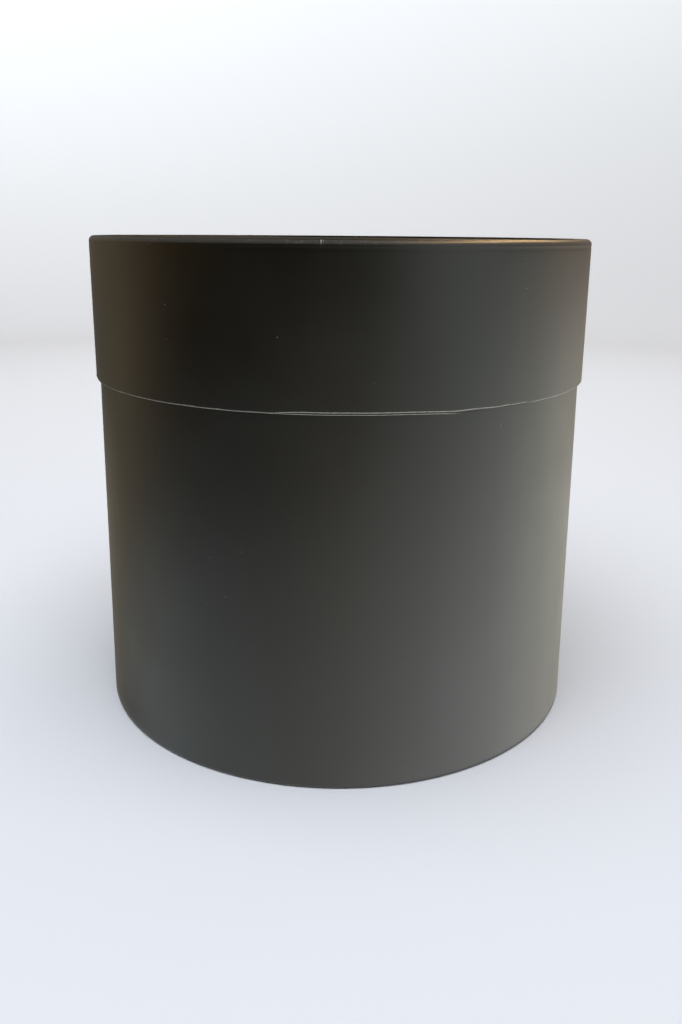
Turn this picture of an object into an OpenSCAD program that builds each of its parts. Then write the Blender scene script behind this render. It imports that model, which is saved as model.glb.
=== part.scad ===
// Round flower box with a deep lift-off lid, built from rolled board tubes covered in paper.
// Millimetres, +Z up. The origin is on the box's axis, on the plane that its foot rests on.
// The body and the lid are the same kind of cup: a board tube with one end rolled in over a
// board disc, a wrap sheet outside that is turned in over the open edge, and a lining inside.

/* [Box] */
// Outside diameter of the lid
lid_diameter = 200; // [160:1:250]
// Overall height with the lid on
total_height = 190; // [150:1:260]
// Depth of the lid, from its open edge to the crest of its rolled rim
lid_height = 55; // [30:1:90]

/* [Lid fit] */
// Radial gap between the lid's lining and the body's wrap
slip_gap = 0.3; // [0.2:0.05:0.6]
// Gap between the body's mouth and the lid's ceiling with the lid on
seat_gap = 0.3; // [0.1:0.05:0.5]

/* [Boards and papers] */
// Thickness of the body's tube
body_board = 1.2; // [0.8:0.1:1.5]
// Thickness of the lid's tube
lid_board = 0.75; // [0.6:0.05:1]
// Thickness of the discs in the base and in the lid
disc_board = 2; // [2:0.1:3]
// Thickness of the wrap and lining papers
paper = 0.15; // [0.1:0.05:0.25]

/* [Rims and edges] */
// Outer radius of the rolled rims
rim_radius = 2; // [1.9:0.1:2.5]
// Width of the lid's rolled rim, from its side to its inner edge
lid_flange = 5; // [4:0.5:8]
// Width of the foot, which is the body's rolled rim
foot_flange = 7; // [5:0.5:12]
// Length of wrap that is turned in over an open edge
hem = 12; // [8:1:20]
// How far a lining stops short of the open edge
lining_setback = 3; // [1:0.5:5]

/* [Waterproof liner] */
// Height of the liner's wall above its own floor
liner_height = 80; // [40:5:100]
// Thickness of the liner's plastic
liner_wall = 0.4; // [0.3:0.1:0.8]
// Gap between the liner and the body's lining
liner_gap = 0.6; // [0.5:0.1:1]
// Outer radius of the corner between the liner's wall and floor
liner_corner = 4; // [2:0.5:8]
// Radius of the bead round the liner's top edge
liner_bead = 0.5; // [0.4:0.05:0.6]

/* [Hidden] */
$fn = 180;

// Radii, from the outside in
lid_r = lid_diameter / 2;
lid_board_in_r = lid_r - paper - lid_board;
body_r = lid_board_in_r - 2 * paper - slip_gap;
body_board_in_r = body_r - paper - body_board;
liner_r = body_board_in_r - paper - liner_gap;

// Heights, from the foot up
base_disc_z = paper + body_board;
floor_z = base_disc_z + disc_board;
liner_z = floor_z + paper;
lid_edge_z = total_height - lid_height;
lid_disc_top_z = total_height - paper - lid_board;
lid_ceiling_z = lid_disc_top_z - disc_board - paper;
body_height = lid_ceiling_z - seat_gap;

// How far the two strips of a lining run beside each other where it steps over the hem
lining_lap = 2 * paper;

board_colour = [0.52, 0.49, 0.45];
wrap_colour = [0.07, 0.07, 0.07];
lining_colour = [0.12, 0.12, 0.12];
plastic_colour = [0.16, 0.17, 0.18];

// ---- Profiles of a cup, in the plane of radius and depth: its open edge is at depth 0 ----

// Quarter of a ring in the first quadrant
module quarter_ring(r, t) {
    intersection() {
        difference() {
            circle(r);
            circle(r - t);
        }
        square(r);
    }
}

// Quarter of a disc of the paper's thickness, where paper turns round a board's sharp corner
module paper_corner(side, end) {
    intersection() {
        circle(paper);
        translate([side < 0 ? -paper : 0, end < 0 ? -paper : 0]) square(paper);
    }
}

// Board tube of a cup with outside radius r, wall t and depth d, rolled in at its closed end
module tube_profile(r, t, d, flange) {
    translate([r - paper - t, paper]) square([t, d - rim_radius - paper]);
    translate([r - rim_radius, d - rim_radius]) quarter_ring(rim_radius - paper, t);
    translate([r - flange, d - paper - t]) square([flange - rim_radius, t]);
}

// Wrap sheet of the same cup: up inside the open edge, down the side and in over the roll
module wrap_profile(r, t, d, flange) {
    hem_r = r - paper - t;
    translate([hem_r - paper, paper]) square([paper, hem]);
    translate([hem_r, paper]) paper_corner(-1, -1);
    translate([hem_r, 0]) square([t, paper]);
    translate([r - paper, paper]) paper_corner(1, -1);
    translate([r - paper, paper]) square([paper, d - rim_radius - paper]);
    translate([r - rim_radius, d - rim_radius]) quarter_ring(rim_radius, paper);
    translate([r - flange, d - paper]) square([flange - rim_radius, paper]);
    translate([r - flange, d - paper]) paper_corner(-1, 1);
    translate([r - flange - paper, d - paper - t]) square([paper, t]);
}

// Lining inside a tube of inner radius r: over the hem first, then on the board down to depth d
module lining_profile(r, d) {
    hem_end = paper + hem;
    translate([r - 2 * paper, lining_setback]) square([paper, hem_end + lining_lap - lining_setback]);
    translate([r - paper, hem_end]) square([paper, d - hem_end]);
}

// Half section of a board disc of radius r and thickness t, its upper edge pressed round
module rounded_disc_profile(r, t, corner) {
    square([r, t - corner]);
    square([r - corner, t]);
    translate([r - corner, t - corner]) intersection() {
        circle(corner);
        square(corner);
    }
}

// The lid's cup opens downwards and the body's opens upwards
module lid_cup() {
    translate([0, 0, lid_edge_z]) rotate_extrude() children();
}

module body_cup() {
    translate([0, 0, body_height]) mirror([0, 0, 1]) rotate_extrude() children();
}

module paper_disc(r, z) {
    translate([0, 0, z]) cylinder(r = r, h = paper);
}

// ---- Box body ----

// Wound board tube, its lower end rolled in as the foot that carries the base disc
module body_tube() {
    color(board_colour) body_cup() tube_profile(body_r, body_board, body_height, foot_flange);
}

// Black paper over the outside of the body, the mouth and the foot
module body_wrap() {
    color(wrap_colour) body_cup() wrap_profile(body_r, body_board, body_height, foot_flange);
}

// Black paper inside the body, from just below the mouth to the base disc
module body_lining() {
    color(lining_colour) body_cup() lining_profile(body_board_in_r, body_height - floor_z);
}

// Board disc that closes the body, resting on the rolled foot
module base_disc() {
    color(board_colour) translate([0, 0, floor_z]) mirror([0, 0, 1]) rotate_extrude()
        rounded_disc_profile(body_board_in_r, disc_board, rim_radius - paper - body_board);
}

// Paper on the underside of the base disc, inside the foot
module base_underside_paper() {
    color(wrap_colour) paper_disc(body_r - foot_flange - paper, base_disc_z - paper);
}

// Paper on the inside of the base disc
module base_floor_paper() {
    color(lining_colour) paper_disc(body_board_in_r - paper, floor_z);
}

// Thin plastic cup that keeps wet floral foam off the board, with a bead round its top
module waterproof_liner() {
    top = liner_height - liner_bead;
    floor_r = liner_r - liner_corner;
    color(plastic_colour) translate([0, 0, liner_z]) rotate_extrude() {
        square([floor_r, liner_wall]);
        translate([floor_r, liner_corner]) mirror([0, 1]) quarter_ring(liner_corner, liner_wall);
        translate([liner_r - liner_wall, liner_corner]) square([liner_wall, top - liner_corner]);
        translate([liner_r - liner_wall / 2, top]) circle(liner_bead);
    }
}

// ---- Lid ----

// Wound board tube of the lid, its upper end rolled in over the lid's disc
module lid_tube() {
    color(board_colour) lid_cup() tube_profile(lid_r, lid_board, lid_height, lid_flange);
}

// Black paper over the outside of the lid, its lower edge and its rolled rim
module lid_wrap() {
    color(wrap_colour) lid_cup() wrap_profile(lid_r, lid_board, lid_height, lid_flange);
}

// Black paper inside the lid's skirt, from just above its lower edge to the disc
module lid_lining() {
    color(lining_colour) lid_cup() lining_profile(lid_board_in_r, lid_disc_top_z - disc_board - lid_edge_z);
}

// Board disc under the rolled rim
module lid_disc() {
    color(board_colour) translate([0, 0, lid_disc_top_z - disc_board]) rotate_extrude()
        rounded_disc_profile(lid_board_in_r, disc_board, rim_radius - paper - lid_board);
}

// Black paper on top of the disc, inside the rolled rim
module lid_top_paper() {
    color(wrap_colour) paper_disc(lid_r - lid_flange - paper, lid_disc_top_z);
}

// Black paper on the underside of the disc, which rests over the body's mouth
module lid_ceiling_paper() {
    color(lining_colour) paper_disc(lid_board_in_r - paper, lid_ceiling_z);
}

body_tube();
body_wrap();
body_lining();
base_disc();
base_underside_paper();
base_floor_paper();
waterproof_liner();
lid_tube();
lid_wrap();
lid_lining();
lid_disc();
lid_top_paper();
lid_ceiling_paper();
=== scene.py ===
"""Looks of a round black flower box with a lift-off lid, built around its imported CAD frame."""

import math
import random

import bmesh
import bpy
from mathutils import Matrix, Vector, noise


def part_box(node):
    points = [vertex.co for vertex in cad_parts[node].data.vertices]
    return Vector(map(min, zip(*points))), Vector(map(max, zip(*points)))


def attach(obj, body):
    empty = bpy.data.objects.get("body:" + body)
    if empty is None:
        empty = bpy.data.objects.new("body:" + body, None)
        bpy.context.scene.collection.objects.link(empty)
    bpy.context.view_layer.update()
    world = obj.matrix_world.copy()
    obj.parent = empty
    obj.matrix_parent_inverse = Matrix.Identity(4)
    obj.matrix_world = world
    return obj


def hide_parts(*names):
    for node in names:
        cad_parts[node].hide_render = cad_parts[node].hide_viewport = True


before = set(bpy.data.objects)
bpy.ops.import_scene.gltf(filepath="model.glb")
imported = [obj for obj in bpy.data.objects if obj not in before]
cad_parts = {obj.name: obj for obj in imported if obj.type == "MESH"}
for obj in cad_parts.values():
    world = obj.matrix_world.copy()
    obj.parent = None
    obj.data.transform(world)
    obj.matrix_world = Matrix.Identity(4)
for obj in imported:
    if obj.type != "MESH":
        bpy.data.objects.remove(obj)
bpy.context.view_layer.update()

MM = 0.001

# Angles round the box are in degrees, counted from +X towards +Y: the front is at -90.
FRONT = -90.0
BACK = 90.0


# ---- Sizes read from the frame, in millimetres -------------------------------------------------

def radius_of(node):
    """Outside radius of a CAD node."""
    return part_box(node)[1].x / MM


def span_of(node):
    """Lowest and highest point of a CAD node."""
    low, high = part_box(node)
    return low.z / MM, high.z / MM


def thickness_of(node):
    """Height of a flat CAD node."""
    low, high = span_of(node)
    return high - low


PAPER = thickness_of("lid_top_paper")
LID_ROUND = 2.0    # outer radius of the lid's rolled rim
FOOT_ROUND = 1.2   # outer radius of the foot, pressed squarer by the box's weight
HEM = 12.0         # paper turned in over an open edge
EDGE_ROUND = 0.45  # paper folded over a board's edge keeps this radius
SETBACK = 3.0      # a lining stops this far short of the open edge


class Cup:
    """The body or the lid as a cup. Depth is counted from its open edge towards its closed end."""

    def __init__(self, wrap, disc, end_paper, opens_up, rim_round):
        low, high = span_of(wrap)
        self.rim_round = rim_round
        self.radius = radius_of(wrap)
        self.board_in = radius_of(disc)
        self.board = self.radius - PAPER - self.board_in
        self.lip = radius_of(end_paper)
        self.depth = high - low
        self.edge_z = high if opens_up else low
        self.way = -1 if opens_up else 1

    def z(self, depth):
        """Height of a point at this depth."""
        return self.edge_z + self.way * depth


LID = Cup("lid_wrap", "lid_disc", "lid_top_paper", opens_up=False, rim_round=LID_ROUND)
BODY = Cup("body_wrap", "base_disc", "base_underside_paper", opens_up=True, rim_round=FOOT_ROUND)


# ---- Small maths -------------------------------------------------------------------------------

def smooth(low, high, x):
    """0 below low and 1 above high, with an S between them."""
    t = min(max((x - low) / (high - low), 0.0), 1.0)
    return t * t * (3 - 2 * t)


def bell(x, width):
    """1 where x is 0, and falling off to either side over about the width."""
    return math.exp(-(x / width) ** 2)


def turn_between(a, b):
    """Signed turn from angle a to angle b, in -180..180 degrees."""
    return (b - a + 180) % 360 - 180


def arc(centre, radius, start, end, steps):
    """Points (r, depth) on an arc, its angles in degrees from the outward direction towards depth."""
    points = []
    for i in range(steps + 1):
        a = math.radians(start + (end - start) * i / steps)
        points.append((centre[0] + radius * math.cos(a), centre[1] + radius * math.sin(a)))
    return points


def run(start, end, step):
    """Points from start to end, both left out, about step apart."""
    length = math.dist(start, end)
    count = max(1, round(length / step))
    return [
        tuple(a + (b - a) * i / count for a, b in zip(start, end)) for i in range(1, count)
    ]


# ---- Sheets swept round the axis ---------------------------------------------------------------

COLUMN_GAP = 0.008   # least angle between two columns of a sheet, in degrees
SAME_POINT = 1e-6    # vertices nearer than this become one, in metres
SHARP_ANGLE = 38     # edges that turn by more than this stay sharp, in degrees


def ring_angles(step, places=(), spread=0.0):
    """Columns of a sheet: even ones, and five close together at each place that has fine relief."""
    count = round(360 / step)
    angles = {round(-180 + i * step, 4) for i in range(count)}
    for place in places:
        for share in (-1.0, -0.5, 0.0, 0.5, 1.0):
            angles.add(round(turn_between(0, place + share * spread), 4))
    ordered = sorted(angles)
    return [a for i, a in enumerate(ordered) if i == 0 or a - ordered[i - 1] > COLUMN_GAP]


def face_normals_2d(points):
    """The way that each point of an open outline faces: to the right of its direction of travel."""
    normals = []
    for i in range(len(points)):
        before = points[max(i - 1, 0)]
        after = points[min(i + 1, len(points) - 1)]
        dr, dd = after[0] - before[0], after[1] - before[1]
        length = math.hypot(dr, dd)
        normals.append((dd / length, -dr / length))
    return normals


def sweep(name, angles, rows, closed=True):
    """Mesh object of rows of rings. For an angle, each row gives r and z in millimetres, and its wear
    and painted light.
    A closed one joins its last row to its first."""
    mesh = bpy.data.meshes.new(name)
    bm = bmesh.new()
    layer = bm.verts.layers.float.new("wear_and_painted_light")
    grid = []
    for row in rows:
        ring = []
        for angle in angles:
            r, z, wear_and_painted_light = row(angle)
            a = math.radians(angle)
            vertex = bm.verts.new((r * math.cos(a) * MM, r * math.sin(a) * MM, z * MM))
            vertex[layer] = wear_and_painted_light
            ring.append(vertex)
        grid.append(ring)
    pairs = [(i, i + 1) for i in range(len(grid) - 1)]
    if closed:
        pairs.append((len(grid) - 1, 0))
    for low, high in pairs:
        for j in range(len(angles)):
            k = (j + 1) % len(angles)
            bm.faces.new((grid[low][j], grid[low][k], grid[high][k], grid[high][j]))
    bmesh.ops.remove_doubles(bm, verts=bm.verts, dist=SAME_POINT)
    bmesh.ops.recalc_face_normals(bm, faces=bm.faces)
    for face in bm.faces:
        face.smooth = True
    bm.to_mesh(mesh)
    bm.free()
    mesh.set_sharp_from_angle(angle=math.radians(SHARP_ANGLE))
    piece = bpy.data.objects.new(name, mesh)
    bpy.context.scene.collection.objects.link(piece)
    return piece


def sheet_rows(cup, outline, thickness, relief, wear_and_painted_light, shift, flare=lambda r, d: 0.0):
    """Rows of a thin closed sheet whose face follows outline, a list of (r, depth).

    relief(angle, r, depth) lifts the face along its normal, and wear_and_painted_light(angle, r,
    depth) says how rubbed it is and how much painted sheen it takes, or below 0 how much painted shade
    it takes. shift(angle, depth) moves both sides along the depth, and flare(r, depth) moves them
    outwards."""
    normals = face_normals_2d(outline)

    def face(point, normal):
        def row(angle):
            r, d = point
            lift = relief(angle, r, d)
            d_moved = d + normal[1] * lift + shift(angle, d)
            return r + normal[0] * lift + flare(r, d), cup.z(d_moved), wear_and_painted_light(angle, r, d)
        return row

    def back(point, normal):
        def row(angle):
            r, d = point
            d_moved = d - normal[1] * thickness + shift(angle, d)
            return r - normal[0] * thickness + flare(r, d), cup.z(d_moved), 0.0
        return row

    faces = [face(p, n) for p, n in zip(outline, normals)]
    backs = [back(p, n) for p, n in zip(outline, normals)]
    return faces + backs[::-1]


class Lap:
    """Overlap of a sheet's two ends: a sharp step at the free end and a soft one over the other."""

    SHARP_STEP = 0.02    # half the width of each step, in degrees
    SOFT_STEP = 1.2
    RUBBED_WIDTH = 0.12  # how far the free end is rubbed, in degrees

    def __init__(self, angle, width):
        self.start = angle
        self.width = width

    def places(self):
        """Angles that need close columns."""
        return [self.start, self.start + self.width]

    def lift(self, angle):
        """How far the sheet is lifted at this angle, in millimetres."""
        turn = turn_between(self.start, angle)
        rise = smooth(-self.SHARP_STEP, self.SHARP_STEP, turn)
        fall = 1 - smooth(self.width - self.SOFT_STEP, self.width + self.SOFT_STEP, turn)
        return PAPER * rise * fall

    def rubbed(self, angle):
        """How rubbed the free end is at this angle, from 0 to 1."""
        return bell(turn_between(self.start, angle), self.RUBBED_WIDTH)


class Pleats:
    """Fine folds where a wrap is gathered over a rolled rim, each an (angle, height, width)."""

    PLACES = (0.15, 0.85)   # where in its share of the ring a fold may lie
    HEIGHTS = (0.008, 0.03)
    WIDTHS = (0.10, 0.2)    # in degrees
    STRONG_WIDTH = 0.11
    REACH = 4               # a fold adds nothing that shows beyond this many widths

    def __init__(self, seed, count, strong):
        """Folds all round from the seed, and strong ones given as (angle, height)."""
        draw = random.Random(seed)
        step = 360 / count
        self.folds = []
        for i in range(count):
            angle = -180 + (i + draw.uniform(*self.PLACES)) * step
            height = draw.uniform(*self.HEIGHTS)
            self.folds.append((angle, height, draw.uniform(*self.WIDTHS)))
        for angle, height in strong:
            self.folds.append((angle, height, self.STRONG_WIDTH))

    def places(self):
        """Angles that need close columns."""
        return [fold[0] for fold in self.folds]

    def lift(self, angle):
        """How far the folds lift the sheet at this angle, in millimetres."""
        total = 0.0
        for place, height, width in self.folds:
            turn = turn_between(place, angle)
            if abs(turn) < self.REACH * width:
                total += height * bell(turn, width)
        return total


def ring_noise(angle, radius, level):
    """Noise from -1 to 1 along a circle: the larger its radius, the quicker it changes."""
    a = math.radians(angle)
    return noise.noise(Vector((radius * math.cos(a), radius * math.sin(a), level)))


def wave(angle, depth, size, seed):
    """Slow unevenness of glued board and paper, in millimetres either way."""
    wave_depth = 38.0
    return size * ring_noise(angle, 2.6, depth / wave_depth + seed)


# ---- The wraps ---------------------------------------------------------------------------------

def wrap_outline(cup):
    """Outside face of a wrap: the hem, the folded edge, the side, the rolled rim and its lip."""
    hem_r = cup.board_in - PAPER
    hem_end = HEM + PAPER
    side_r = cup.radius
    rim_r = cup.radius - cup.rim_round
    rolled = cup.depth - cup.rim_round
    e = EDGE_ROUND
    lip_round = 0.35
    lines_end = 2.2             # the lines along the edge need close rows as far as this
    pleats_start = rolled - 3   # and the pleats from here
    outline = [(hem_r, hem_end)]
    outline += run((hem_r, hem_end), (hem_r, e), step=3.0)
    outline += arc((hem_r + e, e), e, 180, 270, steps=4)
    outline += arc((side_r - e, e), e, 270, 360, steps=5)
    outline += run((side_r, e), (side_r, lines_end), step=0.11)
    outline += run((side_r, lines_end), (side_r, pleats_start), step=4.0)
    outline += run((side_r, pleats_start), (side_r, rolled), step=0.5)
    outline += arc((rim_r, rolled), cup.rim_round, 0, 90, steps=10)
    outline += run((rim_r, cup.depth), (cup.lip + lip_round, cup.depth), step=0.7)
    outline += arc((cup.lip + lip_round, cup.depth - lip_round), lip_round, 90, 180, steps=4)
    outline.append((cup.lip, cup.depth - PAPER - cup.board))
    return outline


def edge_wobble(angle):
    """How far a cup's open edge strays from a true circle, towards its closed end."""
    a = math.radians(angle - FRONT)
    slow = -0.12 * math.cos(2 * a) + 0.03 * math.sin(7 * a + 2.0)
    quick = 0.022 * math.sin(23 * a + 1.1) + 0.018 * math.sin(41 * a)
    return slow + quick


# Stretches of the lid's edge where the folded paper shows a second line, as (start, end) angles
FOLD_STRETCHES = [(-101, -60), (-12, 24), (63, 104), (150, 188)]
FOLD_FADE = 5   # a stretch fades over this angle to either side of its ends


def braid(angle):
    """Uneven 0 to 1 along the lid's edge, where the folded paper's strands part and meet."""
    return min(max(0.5 + 0.9 * ring_noise(angle, 34.0, 2.0), 0.0), 1.0)


def second_fold(angle):
    """Share of the second fold line at this angle."""
    shares = []
    for start, end in FOLD_STRETCHES:
        middle = (start + end) / 2
        half = (end - start) / 2
        turn = abs(turn_between(middle, angle))
        shares.append(1 - smooth(half - FOLD_FADE, half + FOLD_FADE, turn))
    return max(shares)


def lid_wrap_piece():
    """Black paper over the lid, with its pleated rim and its rubbed lower edge, with painted shade
    along that edge and painted sheen on the rim.
    """
    # Strong pleats, as (angle, height)
    near_front = [(FRONT - 3.4, 0.065), (FRONT - 3.0, 0.05), (FRONT - 9.6, 0.05),
                  (FRONT + 0.1, 0.045), (FRONT + 4.1, 0.045)]
    elsewhere = [(-128, 0.05), (-31, 0.06), (17, 0.09), (62, 0.07), (118, 0.10), (171, 0.08)]
    pleats = Pleats(seed=11, count=84, strong=near_front + elsewhere)
    lap = Lap(BACK + 3, width=8)
    rolled = LID.depth - LID.rim_round
    lower_at = 0.10       # depth of the rubbed line along the edge itself
    rubbed_pleat = 0.10   # a pleat this high is rubbed all through
    nick_angle = -165.5
    sag_angle = FRONT + 24
    tuck_angle = FRONT + 32

    def tucked(angle):
        """Share of the lower line that is tucked under and lies in painted shade."""
        return 1 - smooth(6, 11, abs(turn_between(tuck_angle, angle)))

    def strands(angle):
        """Depths of the edge's groove and upper line, and how open the groove is."""
        apart = max(second_fold(angle), 0.45 * braid(angle))
        groove_at = 0.14 + 0.36 * apart
        upper_at = 0.18 + 0.72 * apart + 0.22 * tucked(angle)
        return groove_at, upper_at, apart

    def relief(angle, r, d):
        if r < LID.board_in:
            return pleats.lift(angle) * 0.5 if d > rolled else 0.0
        side = smooth(0.0, EDGE_ROUND, d)
        groove_at, _, apart = strands(angle)
        groove = -0.10 * bell(d - groove_at, 0.12) * side * apart
        under_rim = -0.05 * bell(d - (rolled - 0.9), 0.7)
        gathered = pleats.lift(angle) * smooth(rolled - 1.2, rolled + 0.8, d)
        nick = 0.2 * bell(turn_between(nick_angle, angle), 0.3) * bell(d - 0.3, 0.3)
        calm = smooth(1.0, 6.0, d) * (1 - smooth(rolled - 4, rolled, d))
        return (lap.lift(angle) * side + groove + under_rim + gathered + nick
                + wave(angle, d, 0.05, 3.0) * calm)

    def wear_and_painted_light(angle, r, d):
        groove_at, upper_at, apart = strands(angle)
        shade = tucked(angle)
        lower = (0.75 + 0.25 * braid(-angle)) * bell(d - lower_at, 0.15) * (1 - shade)
        if r < LID.board_in:
            return 0.3 * lower
        upper = bell(d - upper_at, 0.13) * max(smooth(0.1, 0.6, apart), shade)
        upper *= 0.75 + 0.25 * braid(1.7 * angle)
        # Painted shade: a dark line in the groove between the two lines, and a wider one under the
        # tucked stretch for the shadow gap below the lid's edge.
        painted_shade = 0.9 * bell(d - groove_at, 0.10) * smooth(0.3, 0.8, apart)
        painted_shade = max(painted_shade, 1.4 * shade * bell(d - 0.08, 0.22))
        tick = min(pleats.lift(angle) / rubbed_pleat, 1.0) ** 1.5
        ticks = tick * smooth(rolled - 0.3, rolled + 1.0, d)
        # The rolled rim is painted a little lighter: a slight rub with painted sheen.
        rim = 0.16 * smooth(rolled + 0.1, rolled + 0.5, d)
        return max(lower, upper, ticks, rim, 0.5 * lap.rubbed(angle)) - painted_shade

    def shift(angle, d):
        """The open edge isn't quite true, and sags at one place; above it the side is true."""
        sag = 0.6 * bell(turn_between(sag_angle, angle), 7.0)
        return (edge_wobble(angle) - sag) * (1 - smooth(0.5, 5, d))

    def flare(r, d):
        """The rolled rim stands a little wider than the side below it."""
        return 0.4 * (d / LID.depth) * smooth(LID.lip, LID.radius - 1.5, r)

    angles = ring_angles(1.0, pleats.places() + lap.places() + [nick_angle], spread=0.22)
    rows = sheet_rows(LID, wrap_outline(LID), PAPER, relief, wear_and_painted_light, shift, flare)
    return sweep("lid_wrap_paper", angles, rows)


def body_wrap_piece():
    """Black paper over the body, its turned-in mouth and its rolled foot."""
    strong = [(-52, 0.06), (33, 0.08), (101, 0.09), (160, 0.05)]
    pleats = Pleats(seed=5, count=72, strong=strong)
    lap = Lap(BACK - 11, width=8)
    rolled = BODY.depth - BODY.rim_round
    flat_r = BODY.radius - BODY.rim_round   # the box stands on the part inside this
    rubbed_pleat = 0.11

    def relief(angle, r, d):
        if r < BODY.board_in:
            return 0.0
        side = smooth(0.0, EDGE_ROUND, d)
        gathered = pleats.lift(angle) * smooth(rolled - 1.5, rolled + 0.6, d)
        off_the_flat = smooth(flat_r, flat_r + 0.8, r)
        calm = smooth(1.0, 8.0, d) * (1 - smooth(rolled - 5, rolled, d))
        return (lap.lift(angle) * side + gathered) * off_the_flat + wave(angle, d, 0.05, 9.0) * calm

    def wear_and_painted_light(angle, r, d):
        mouth = 0.45 * bell(d, 0.35)
        # The foot's rounding is rubbed, and painted lighter against the dark floor shade that it
        # mirrors.
        foot = 0.20 * smooth(rolled - 0.2, rolled + 0.4, d)
        tick = 0.6 * min(pleats.lift(angle) / rubbed_pleat, 1.0)
        ticks = tick * smooth(rolled - 0.5, rolled + 0.8, d)
        free_end = 0.5 * lap.rubbed(angle) if r > BODY.board_in else 0.0
        return max(mouth, foot, ticks, free_end)

    def shift(angle, d):
        return 0.3 * edge_wobble(angle + 70) * (1 - smooth(0.5, 5, d))

    angles = ring_angles(1.5, pleats.places() + lap.places(), spread=0.22)
    rows = sheet_rows(BODY, wrap_outline(BODY), PAPER, relief, wear_and_painted_light, shift)
    return sweep("body_wrap_paper", angles, rows)


# ---- Linings and discs -------------------------------------------------------------------------

def lining_piece(name, cup, depth, lap, seed):
    """Paper inside a tube: it laps over the hem near the open edge, then lies on the board."""
    over_hem = cup.board_in - 2 * PAPER
    on_board = cup.board_in - PAPER
    hem_end = HEM + PAPER
    outline = [(over_hem, SETBACK)]
    outline += run((over_hem, SETBACK), (over_hem, hem_end), step=2.0)
    outline += [(over_hem + 0.02, hem_end + 0.3), (on_board - 0.02, hem_end + 1.1)]
    outline += run((on_board, hem_end + 1.4), (on_board, depth), step=5.0)
    outline.append((on_board, depth))
    outline.reverse()

    def relief(angle, r, d):
        inner = lap.lift(angle) * smooth(SETBACK, SETBACK + 0.5, d)
        return inner + wave(angle, d, 0.03, seed) * smooth(14, 20, d)

    def wear_and_painted_light(angle, r, d):
        return max(0.7 * bell(d - SETBACK, 0.2), 0.35 * lap.rubbed(angle))

    def shift(angle, d):
        return 0.6 * edge_wobble(angle * 2 + seed) * (1 - smooth(SETBACK, SETBACK + 4, d))

    rows = sheet_rows(cup, outline, PAPER, relief, wear_and_painted_light, shift)
    return sweep(name, ring_angles(2.0, lap.places(), spread=0.3), rows)


def disc_piece(name, node, faces_up, gap, seed):
    """Round sheet glued on a board disc, a little uneven, its edge short by the gap of what
    surrounds it."""
    low, high = span_of(node)
    radius = radius_of(node) - gap
    face_z, back_z = (high, low) if faces_up else (low, high)
    way = 1 if faces_up else -1
    rings = 16
    radii = [radius * (i / rings) for i in range(rings)]
    radii += [radius - inward for inward in (2.0, 0.9, 0.3, 0.08)]

    def face(r):
        calm = 1 - smooth(radius - 2, radius, r)
        dip = -0.02 * smooth(radius - 0.35, radius, r)
        wear_and_painted_light = 0.25 * bell(r - radius, 0.35)

        def row(angle):
            uneven = 0.035 * ring_noise(angle, r / 21, seed) * calm
            return r, face_z + way * (dip - abs(uneven)), wear_and_painted_light
        return row

    def back(r):
        return lambda angle: (r, back_z, 0.0)

    rim = [lambda angle: (radius, face_z - way * 0.04, 0.3)]
    rows = [face(r) for r in sorted(radii)] + rim + [back(radius), back(0.0)]
    return sweep(name, ring_angles(3.0), rows, closed=False)


# ---- The waterproof liner ----------------------------------------------------------------------

def liner_piece():
    """Thin drawn plastic cup: a beaded top edge, a round corner and stiffening rings in the floor."""
    low, high = span_of("waterproof_liner")
    bead = 0.5     # radius of the bead, as in the solid
    wall = 0.4     # thickness
    corner = 4.0   # outer radius
    outer = radius_of("waterproof_liner") - (bead - wall / 2)
    top = high - bead
    ring_radii = (30.0, 58.0, 82.0)

    def panel(r):
        """Height of the floor above its flat, where it is pressed up into rings."""
        return sum(0.7 * bell(r - ring, 1.6) for ring in ring_radii) + 0.25 * bell(r, 9)

    innermost = 1.5
    steps = 58
    spacing = (outer - corner - innermost) / steps
    floor_radii = [0.0] + [innermost + i * spacing for i in range(steps + 1)]
    outside = [(r, low + panel(r)) for r in floor_radii]
    corner_centre = (outer - corner, low + corner)
    outside += arc(corner_centre, corner, 270, 360, steps=8)[1:]
    outside += run((outer, low + corner), (outer, top - 1), step=5.0)
    outside += arc((outer - wall / 2, top), bead, -62, 242, steps=14)
    inner = outer - wall
    inside = run((inner, top - 1), (inner, low + corner), step=5.0)
    inside += arc(corner_centre, corner - wall, 360, 270, steps=8)
    inside += [(r, low + wall + panel(r)) for r in floor_radii[::-1]]

    def row_at(r, z):
        def row(angle):
            on_wall = smooth(low + corner, low + corner + 8, z) * (1 - smooth(top - 9, top - 2, z))
            give = wave(angle, z, 0.12, 21.0) * on_wall if r > inner - 1 else 0.0
            return r + give, z, 0.0
        return row

    rows = [row_at(r, z) for r, z in outside + inside]
    return sweep("liner_cup", ring_angles(2.5), rows, closed=False)


# ---- Materials ---------------------------------------------------------------------------------

# A mix node's colour sockets, by number, because its other kinds of socket have the same names
MIX_A, MIX_B, MIX_RESULT = 6, 7, 2


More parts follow.
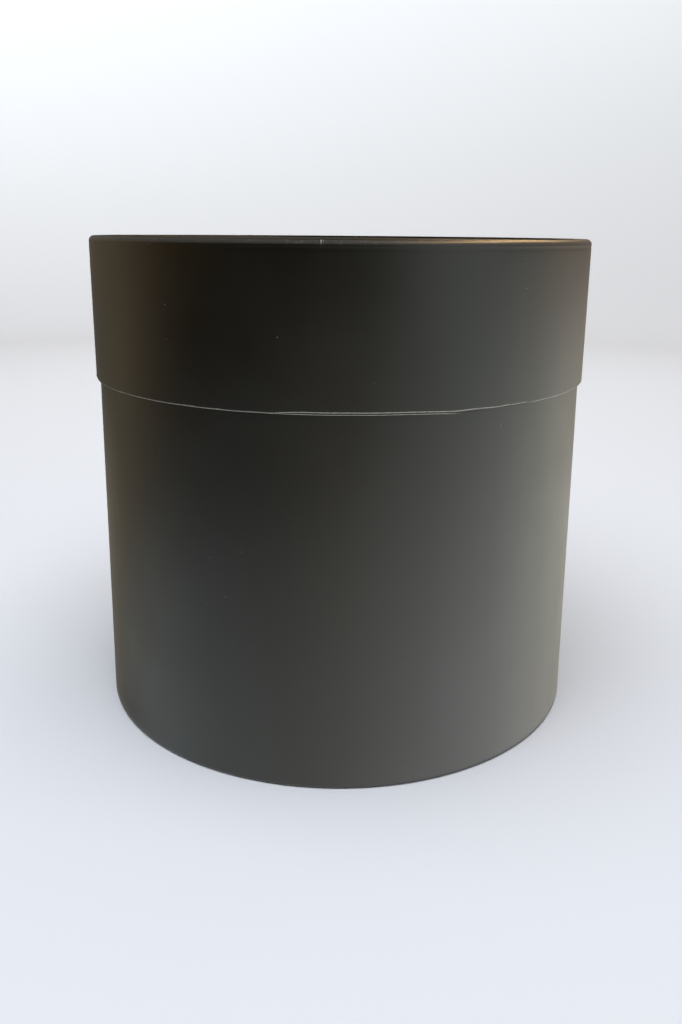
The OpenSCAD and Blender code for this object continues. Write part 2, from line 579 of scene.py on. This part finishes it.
class Shader:
    """A material's nodes, with short calls for the few kinds used here."""

    def __init__(self, name):
        self.material = bpy.data.materials.new(name)
        self.material.use_nodes = True
        self.tree = self.material.node_tree
        self.bsdf = self.tree.nodes["Principled BSDF"]
        self.coords = self.tree.nodes.new("ShaderNodeTexCoord").outputs["Object"]

    def link(self, source, socket):
        """Joins an output to an input."""
        self.tree.links.new(source, socket)

    def noise(self, scale, detail=2.0, stretch=(1, 1, 1)):
        """Fractal noise over the object, its scale in cells to the metre."""
        mapping = self.tree.nodes.new("ShaderNodeMapping")
        mapping.inputs["Scale"].default_value = stretch
        node = self.tree.nodes.new("ShaderNodeTexNoise")
        node.inputs["Scale"].default_value = scale
        node.inputs["Detail"].default_value = detail
        self.link(self.coords, mapping.inputs["Vector"])
        self.link(mapping.outputs["Vector"], node.inputs["Vector"])
        return node.outputs["Fac"]

    def specks(self, scale, size, share):
        """1 on small round dots, one in each Voronoi cell that is drawn, 0 elsewhere."""
        node = self.tree.nodes.new("ShaderNodeTexVoronoi")
        node.inputs["Scale"].default_value = scale
        self.link(self.coords, node.inputs["Vector"])
        dot = self.ramp(node.outputs["Distance"], (size * 0.6, 1.0), (size, 0.0))
        parts = self.tree.nodes.new("ShaderNodeSeparateColor")
        self.link(node.outputs["Color"], parts.inputs["Color"])
        drawn = self.ramp(parts.outputs["Red"], (1 - share - 0.01, 0.0), (1 - share, 1.0))
        return self.math("MULTIPLY", dot, drawn)

    def ramp(self, source, low, high):
        """Runs from low's value to high's value between their places."""
        node = self.tree.nodes.new("ShaderNodeMapRange")
        node.interpolation_type = "SMOOTHSTEP"
        node.inputs["From Min"].default_value, node.inputs["To Min"].default_value = low
        node.inputs["From Max"].default_value, node.inputs["To Max"].default_value = high
        self.link(source, node.inputs["Value"])
        return node.outputs["Result"]

    def math(self, operation, a, b):
        """Result of an operation on two outputs or numbers."""
        node = self.tree.nodes.new("ShaderNodeMath")
        node.operation = operation
        for socket, value in zip(node.inputs, (a, b)):
            if isinstance(value, (int, float)):
                socket.default_value = value
            else:
                self.link(value, socket)
        return node.outputs[0]

    def mix(self, share, a, b):
        """Colour a where share is 0 and colour b where it is 1."""
        node = self.tree.nodes.new("ShaderNodeMix")
        node.data_type = "RGBA"
        node.clamp_factor = True
        self.link(share, node.inputs["Factor"])
        for socket, value in ((node.inputs[MIX_A], a), (node.inputs[MIX_B], b)):
            if isinstance(value, tuple):
                socket.default_value = (*value, 1.0)
            else:
                self.link(value, socket)
        return node.outputs[MIX_RESULT]

    def attribute(self, name):
        """Value that the mesh carries at its points."""
        node = self.tree.nodes.new("ShaderNodeAttribute")
        node.attribute_name = name
        return node.outputs["Fac"]

    def bump(self, layers):
        """Bump from (height, distance in millimetres) layers, one on the next."""
        normal = None
        for height, distance in layers:
            node = self.tree.nodes.new("ShaderNodeBump")
            node.inputs["Strength"].default_value = 1.0
            node.inputs["Distance"].default_value = distance * MM
            self.link(height, node.inputs["Height"])
            if normal is not None:
                self.link(normal, node.inputs["Normal"])
            normal = node.outputs["Normal"]
        self.link(normal, self.bsdf.inputs["Normal"])


def paper_material(name, dark, light, rubbed, roughness, tooth):
    """Smooth dyed paper: fine tooth, cloudy dye, a few dust specks, rubbed edges with some painted
    sheen, painted shade in creases.
    """
    s = Shader(name)
    cloud = s.noise(30, detail=3)
    grain = s.noise(2600, detail=3)
    wear_and_painted_light = s.attribute("wear_and_painted_light")
    base = s.mix(s.ramp(cloud, (0.3, 0.0), (0.7, 1.0)), dark, light)
    # Even light rub from the mark, which also paints the sheen on the lid's rolled rim and lightens
    # the body's foot.
    even_wear_and_sheen = s.ramp(wear_and_painted_light, (0.02, 0.0), (0.18, 0.08))
    base = s.mix(even_wear_and_sheen, base, rubbed)
    patchy = s.math("ADD", wear_and_painted_light, s.math("MULTIPLY", s.noise(900, detail=4), 0.7))
    worn = s.ramp(patchy, (0.55, 0.0), (1.05, 1.0))
    base = s.mix(worn, base, rubbed)
    # Painted shade: below 0 the mark turns the paper near black, for the groove and shadow gap along
    # the lid's lower edge.
    painted_shade = s.ramp(wear_and_painted_light, (-0.6, 1.0), (-0.1, 0.0))
    painted_shade_black = (0.001, 0.001, 0.001)
    base = s.mix(painted_shade, base, painted_shade_black)
    dust = s.specks(160, size=0.03, share=0.3)
    base = s.mix(dust, base, tuple(0.8 * c for c in rubbed))
    s.link(base, s.bsdf.inputs["Base Color"])
    gloss = s.ramp(cloud, (0.2, roughness - 0.03), (0.8, roughness + 0.03))
    dull = s.math("MULTIPLY", s.math("MAXIMUM", worn, painted_shade), 0.4)
    s.link(s.math("ADD", gloss, dull), s.bsdf.inputs["Roughness"])
    s.bsdf.inputs["Specular IOR Level"].default_value = 0.75
    s.bump([(grain, tooth), (cloud, 0.03)])
    return s.material


def greyboard_material():
    """Grey recycled board: mottled pulp with darker and paler flecks and a fibrous surface."""
    s = Shader("greyboard_look")
    pulp = s.noise(160, detail=4)
    base = s.mix(pulp, (0.22, 0.20, 0.165), (0.36, 0.325, 0.275))
    base = s.mix(s.specks(700, size=0.16, share=0.2), base, (0.10, 0.09, 0.08))
    base = s.mix(s.specks(520, size=0.14, share=0.15), base, (0.55, 0.52, 0.46))
    s.link(base, s.bsdf.inputs["Base Color"])
    fibre = s.noise(1300, detail=4, stretch=(1, 1, 0.3))
    s.link(s.ramp(fibre, (0.2, 0.8), (0.8, 0.95)), s.bsdf.inputs["Roughness"])
    s.bump([(fibre, 0.03), (pulp, 0.08)])
    return s.material


def plastic_material():
    """Smoked thin plastic with flow marks from drawing and a few fine scuffs."""
    s = Shader("liner_plastic_look")
    flow = s.noise(45, detail=2, stretch=(1, 1, 0.2))
    scuff = s.noise(420, detail=5, stretch=(1, 1, 4))
    marks = s.ramp(scuff, (0.6, 0.0), (0.78, 1.0))
    base = s.mix(marks, (0.020, 0.021, 0.022), (0.05, 0.05, 0.052))
    s.link(base, s.bsdf.inputs["Base Color"])
    gloss = s.ramp(flow, (0.2, 0.16), (0.8, 0.26))
    s.link(s.math("ADD", gloss, s.math("MULTIPLY", marks, 0.25)), s.bsdf.inputs["Roughness"])
    s.bump([(flow, 0.2), (scuff, 0.004)])
    return s.material


def studio_material():
    """Pale matte studio paper."""
    s = Shader("studio_look")
    tint = s.mix(s.noise(3.0), tuple(0.985 * c for c in PALE), PALE)
    s.link(tint, s.bsdf.inputs["Base Color"])
    s.bsdf.inputs["Roughness"].default_value = 0.9
    s.bsdf.inputs["Specular IOR Level"].default_value = 0.1
    return s.material


# ---- Floor, backdrop, light and camera ---------------------------------------------------------

FLOOR_RADIUS = 99.5     # the disc of floor that the box stands on
SWEEP_START = 1300.0    # distance at which the floor begins to curve up into the backdrop
SWEEP_ROUND = 500.0     # radius of that curve
BACKDROP_TOP = 1700.0   # height of the backdrop's upper edge
PALE = (0.765, 0.79, 0.85)


def add_floor(look):
    """Plain pale floor that the box stands on."""
    rows = [lambda angle: (0.0, 0.0, 0.0), lambda angle: (FLOOR_RADIUS, 0.0, 0.0)]
    floor = sweep("floor", ring_angles(4.0), rows, closed=False)
    floor.data.materials.append(look)


def add_backdrop(look):
    """The rest of the floor, curving up all round. Only the camera sees it, so that the box's
    satin sides mirror the studio light and not the backdrop."""
    corner = arc((SWEEP_START, SWEEP_ROUND), SWEEP_ROUND, 270, 360, steps=16)
    outline = [(FLOOR_RADIUS, 0.0)] + corner + [(SWEEP_START + SWEEP_ROUND, BACKDROP_TOP)]
    rows = [lambda angle, p=p: (p[0], p[1], 0.0) for p in outline]
    backdrop = sweep("backdrop", ring_angles(4.0), rows, closed=False)
    backdrop.data.materials.append(look)
    backdrop.visible_glossy = False
    backdrop.visible_diffuse = False
    backdrop.visible_shadow = False


BRIGHTEST = 2.5   # a colour ramp holds no more than 1, so the rings are stored as shares of this

# Light from all round, one ring of it for each elevation in degrees. A ring's stops are bearings in
# degrees from the front, positive to the right, each with its colour.
LEVEL_RING = [
    (-180, (0.07, 0.07, 0.06)),
    (-165, (0.22, 0.19, 0.15)),
    (-135, (0.25, 0.20, 0.14)),
    (-105, (0.40, 0.29, 0.18)),
    (-75, (0.18, 0.10, 0.02)),
    (-40, (0.03, 0.015, 0.0)),
    (-5, (0.02, 0.02, 0.0)),
    (25, (0.14, 0.16, 0.14)),
    (44, (0.75, 0.80, 0.76)),
    (80, (0.46, 0.49, 0.51)),
    (104, (0.56, 0.43, 0.31)),
    (130, (0.36, 0.28, 0.22)),
    (165, (0.24, 0.20, 0.16)),
    (180, (0.07, 0.07, 0.06)),
]
LIGHT_RINGS = [
    (-33, [
        (-180, (0.20, 0.19, 0.17)),
        (-125, (0.08, 0.08, 0.08)),
        (-98, (0.60, 0.66, 0.68)),
        (-60, (0.80, 0.87, 0.88)),
        (-20, (0.92, 0.96, 0.92)),
        (15, (1.28, 1.29, 1.24)),
        (50, (1.70, 1.75, 1.72)),
        (80, (1.80, 1.85, 1.80)),
        (106, (1.60, 1.60, 1.52)),
        (135, (0.95, 0.92, 0.82)),
        (180, (0.20, 0.19, 0.17)),
    ]),
    (-26, [
        (-180, (0.35, 0.34, 0.30)),
        (-130, (0.40, 0.39, 0.35)),
        (-98, (1.05, 1.14, 1.12)),
        (-60, (0.98, 1.05, 1.03)),
        (-20, (0.96, 1.00, 0.95)),
        (15, (1.32, 1.33, 1.27)),
        (50, (1.77, 1.82, 1.79)),
        (80, (1.95, 2.00, 1.95)),
        (106, (1.70, 1.70, 1.62)),
        (135, (1.00, 0.97, 0.86)),
        (180, (0.35, 0.34, 0.30)),
    ]),
    (-17, [
        (-180, (0.40, 0.38, 0.34)),
        (-140, (0.38, 0.34, 0.25)),
        (-108, (0.26, 0.20, 0.13)),
        (-72, (0.03, 0.02, 0.0)),
        (-25, (0.12, 0.10, 0.05)),
        (10, (0.45, 0.42, 0.34)),
        (45, (0.88, 0.90, 0.83)),
        (85, (1.82, 1.86, 1.74)),
        (108, (1.92, 1.95, 1.76)),
        (135, (1.25, 1.22, 1.08)),
        (180, (0.40, 0.38, 0.34)),
    ]),
    (-9, [
        (-180, (0.30, 0.27, 0.23)),
        (-140, (0.18, 0.17, 0.13)),
        (-106, (0.42, 0.34, 0.20)),
        (-75, (0.03, 0.01, 0.0)),
        (-30, (0.03, 0.015, 0.0)),
        (10, (0.15, 0.13, 0.08)),
        (35, (0.43, 0.46, 0.43)),
        (55, (0.60, 0.70, 0.67)),
        (80, (1.15, 1.20, 1.08)),
        (102, (1.45, 1.46, 1.30)),
        (122, (1.35, 1.30, 1.15)),
        (140, (0.80, 0.74, 0.62)),
        (180, (0.30, 0.27, 0.23)),
    ]),
    (0, LEVEL_RING),
    (10, LEVEL_RING),
    (34, [
        (-180, (0.10, 0.10, 0.09)),
        (-150, (0.22, 0.21, 0.19)),
        (-110, (0.16, 0.15, 0.12)),
        (-40, (0.14, 0.135, 0.12)),
        (20, (0.22, 0.22, 0.21)),
        (55, (0.45, 0.42, 0.38)),
        (100, (0.45, 0.40, 0.34)),
        (150, (0.32, 0.29, 0.25)),
        (180, (0.10, 0.10, 0.09)),
    ]),
]


def add_world():
    """Soft light all round the box: dark in front to the left and bright to the right, brightest
    from low on the right and warm from above it."""
    world = bpy.data.worlds.new("studio")
    bpy.context.scene.world = world
    world.use_nodes = True
    tree = world.node_tree

    def node(kind, *sources):
        """New node with these outputs linked to its first inputs."""
        made = tree.nodes.new(kind)
        for socket, source in zip(made.inputs, sources):
            tree.links.new(source, socket)
        return made

    coords = node("ShaderNodeTexCoord")
    parts = node("ShaderNodeSeparateXYZ", coords.outputs["Generated"])
    ahead = node("ShaderNodeMath", parts.outputs["Y"])
    ahead.operation = "MULTIPLY"
    ahead.inputs[1].default_value = -1.0
    bearing = node("ShaderNodeMath", parts.outputs["X"], ahead.outputs[0])
    bearing.operation = "ARCTAN2"
    place = node("ShaderNodeMapRange", bearing.outputs[0])
    place.inputs["From Min"].default_value = -math.pi
    place.inputs["From Max"].default_value = math.pi

    def ring(stops):
        """Colour at every bearing of one ring."""
        ramp = node("ShaderNodeValToRGB", place.outputs["Result"])
        ramp.color_ramp.interpolation = "CARDINAL"
        elements = ramp.color_ramp.elements
        while len(elements) < len(stops):
            elements.new(0.5)
        for element, (degrees, colour) in zip(elements, stops):
            element.position = (degrees + 180) / 360
            element.color = (*(c / BRIGHTEST for c in colour), 1.0)
        return ramp.outputs["Color"]

    def blend(low, high, start, end):
        """low below the elevation start and high above the elevation end, both in degrees."""
        share = node("ShaderNodeMapRange", parts.outputs["Z"])
        share.inputs["From Min"].default_value = math.sin(math.radians(start))
        share.inputs["From Max"].default_value = math.sin(math.radians(end))
        mixed = node("ShaderNodeMix", share.outputs["Result"])
        mixed.data_type = "RGBA"
        tree.links.new(low, mixed.inputs[MIX_A])
        tree.links.new(high, mixed.inputs[MIX_B])
        return mixed.outputs[MIX_RESULT]

    colour = ring(LIGHT_RINGS[0][1])
    for (start, _), (end, stops) in zip(LIGHT_RINGS, LIGHT_RINGS[1:]):
        colour = blend(colour, ring(stops), start, end)
    background = tree.nodes["Background"]
    background.inputs["Strength"].default_value = BRIGHTEST
    tree.links.new(colour, background.inputs["Color"])


def add_light(name, place, target, size, power, colour, shows_in):
    """Soft rectangular light that the camera doesn't see. shows_in is matte or gloss, the kind of
    reflection that it shows in."""
    data = bpy.data.lights.new(name, "AREA")
    data.shape = "RECTANGLE"
    data.size, data.size_y = (s * MM for s in size)
    data.energy = power
    data.color = colour
    light = bpy.data.objects.new(name, data)
    light.location = Vector(place) * MM
    light.rotation_euler = (Vector(place) - Vector(target)).to_track_quat("Z", "Y").to_euler()
    light.visible_camera = False
    light.visible_glossy = shows_in == "gloss"
    light.visible_diffuse = shows_in == "matte"
    bpy.context.scene.collection.objects.link(light)


def around(bearing, elevation, distance):
    """Point at a distance from the middle of the lid's open edge, its bearing in degrees from the
    front, positive to the right."""
    b = math.radians(bearing)
    e = math.radians(elevation)
    flat = distance * math.cos(e)
    return flat * math.sin(b), -flat * math.cos(b), LID.edge_z + distance * math.sin(e)


def add_lights():
    """One soft light from above the camera, one on the backdrop, and warm ones from high on the
    right that only show as sheen."""
    cool = (0.93, 0.96, 1.0)
    plain = (1.0, 0.965, 0.91)
    warm = (1.0, 0.64, 0.31)
    warm_distance = 1200
    add_light("front_softbox", (-100, -450, 1400), (0, 0, 0), (1400, 1400), 23.5, cool, "matte")
    add_light("backdrop_light", (0, 800, 1300), (0, 1750, 300), (2000, 600), 13, plain, "matte")
    for bearing, elevation, power in ((66, 56, 3.1), (106, 52, 4.4), (143, 38, 3.2)):
        place = around(bearing, elevation, warm_distance)
        add_light(f"warm_light_{bearing}", place, (0, 0, LID.edge_z), (760, 180), power, warm, "gloss")


def add_camera():
    """Camera at the viewpoint of the reference: close in front, level with the lid's top."""
    distance = 381.8
    height = 192.3
    pitch = math.radians(12.725)
    yaw = math.radians(0.14)
    roll = math.radians(0.48)
    data = bpy.data.cameras.new("camera")
    data.sensor_width = 36
    data.lens = 31.74
    data.shift_y = -0.0752
    data.clip_start = 0.01
    camera = bpy.data.objects.new("camera", data)
    place = Matrix.Translation(Vector((0, -distance, height)) * MM)
    turned = Matrix.Rotation(-yaw, 4, "Z") @ Matrix.Rotation(math.pi / 2 - pitch, 4, "X")
    camera.matrix_world = place @ turned @ Matrix.Rotation(roll, 4, "Z")
    bpy.context.scene.collection.objects.link(camera)
    bpy.context.scene.camera = camera


# ---- Putting it together -----------------------------------------------------------------------

def add_piece(piece, body, material, node):
    """Gives a piece its material and its body, and hides the CAD node it stands for."""
    piece.data.materials.append(material)
    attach(piece, body)
    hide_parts(node)


def main():
    """Builds the stage, then every visible piece with its material."""
    add_camera()
    studio = studio_material()
    add_floor(studio)
    add_backdrop(studio)
    add_world()
    add_lights()
    bpy.context.scene.view_settings.view_transform = "Standard"

    wrap = paper_material("wrap_look", (0.0030, 0.0026, 0.0018), (0.0040, 0.0035, 0.0026),
                          (0.34, 0.33, 0.30), roughness=0.34, tooth=0.003)
    lining = paper_material("lining_look", (0.014, 0.014, 0.014), (0.020, 0.020, 0.020),
                            (0.12, 0.12, 0.12), roughness=0.62, tooth=0.008)
    board = greyboard_material()
    plastic = plastic_material()

    add_piece(lid_wrap_piece(), "lid", wrap, "lid_wrap")
    add_piece(disc_piece("lid_top_sheet", "lid_top_paper", faces_up=True, gap=0.25, seed=4.0),
              "lid", wrap, "lid_top_paper")
    add_piece(lining_piece("lid_lining_paper", LID, depth=span_of("lid_disc")[0] - LID.edge_z,
                           lap=Lap(20, width=7), seed=5.0),
              "lid", lining, "lid_lining")
    add_piece(disc_piece("lid_ceiling_sheet", "lid_ceiling_paper",
                         faces_up=False, gap=0.1, seed=7.0),
              "lid", lining, "lid_ceiling_paper")

    add_piece(body_wrap_piece(), "body", wrap, "body_wrap")
    add_piece(lining_piece("body_lining_paper", BODY, depth=BODY.edge_z - span_of("base_disc")[1],
                           lap=Lap(-150, width=7), seed=12.0),
              "body", lining, "body_lining")
    add_piece(disc_piece("base_floor_sheet", "base_floor_paper",
                         faces_up=True, gap=0.1, seed=14.0),
              "body", lining, "base_floor_paper")
    add_piece(disc_piece("base_underside_sheet", "base_underside_paper",
                         faces_up=False, gap=0.25, seed=16.0),
              "body", wrap, "base_underside_paper")
    add_piece(liner_piece(), "body", plastic, "waterproof_liner")

    for node in ("body_tube", "base_disc", "lid_tube", "lid_disc"):
        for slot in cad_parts[node].material_slots:
            slot.material = board


main()
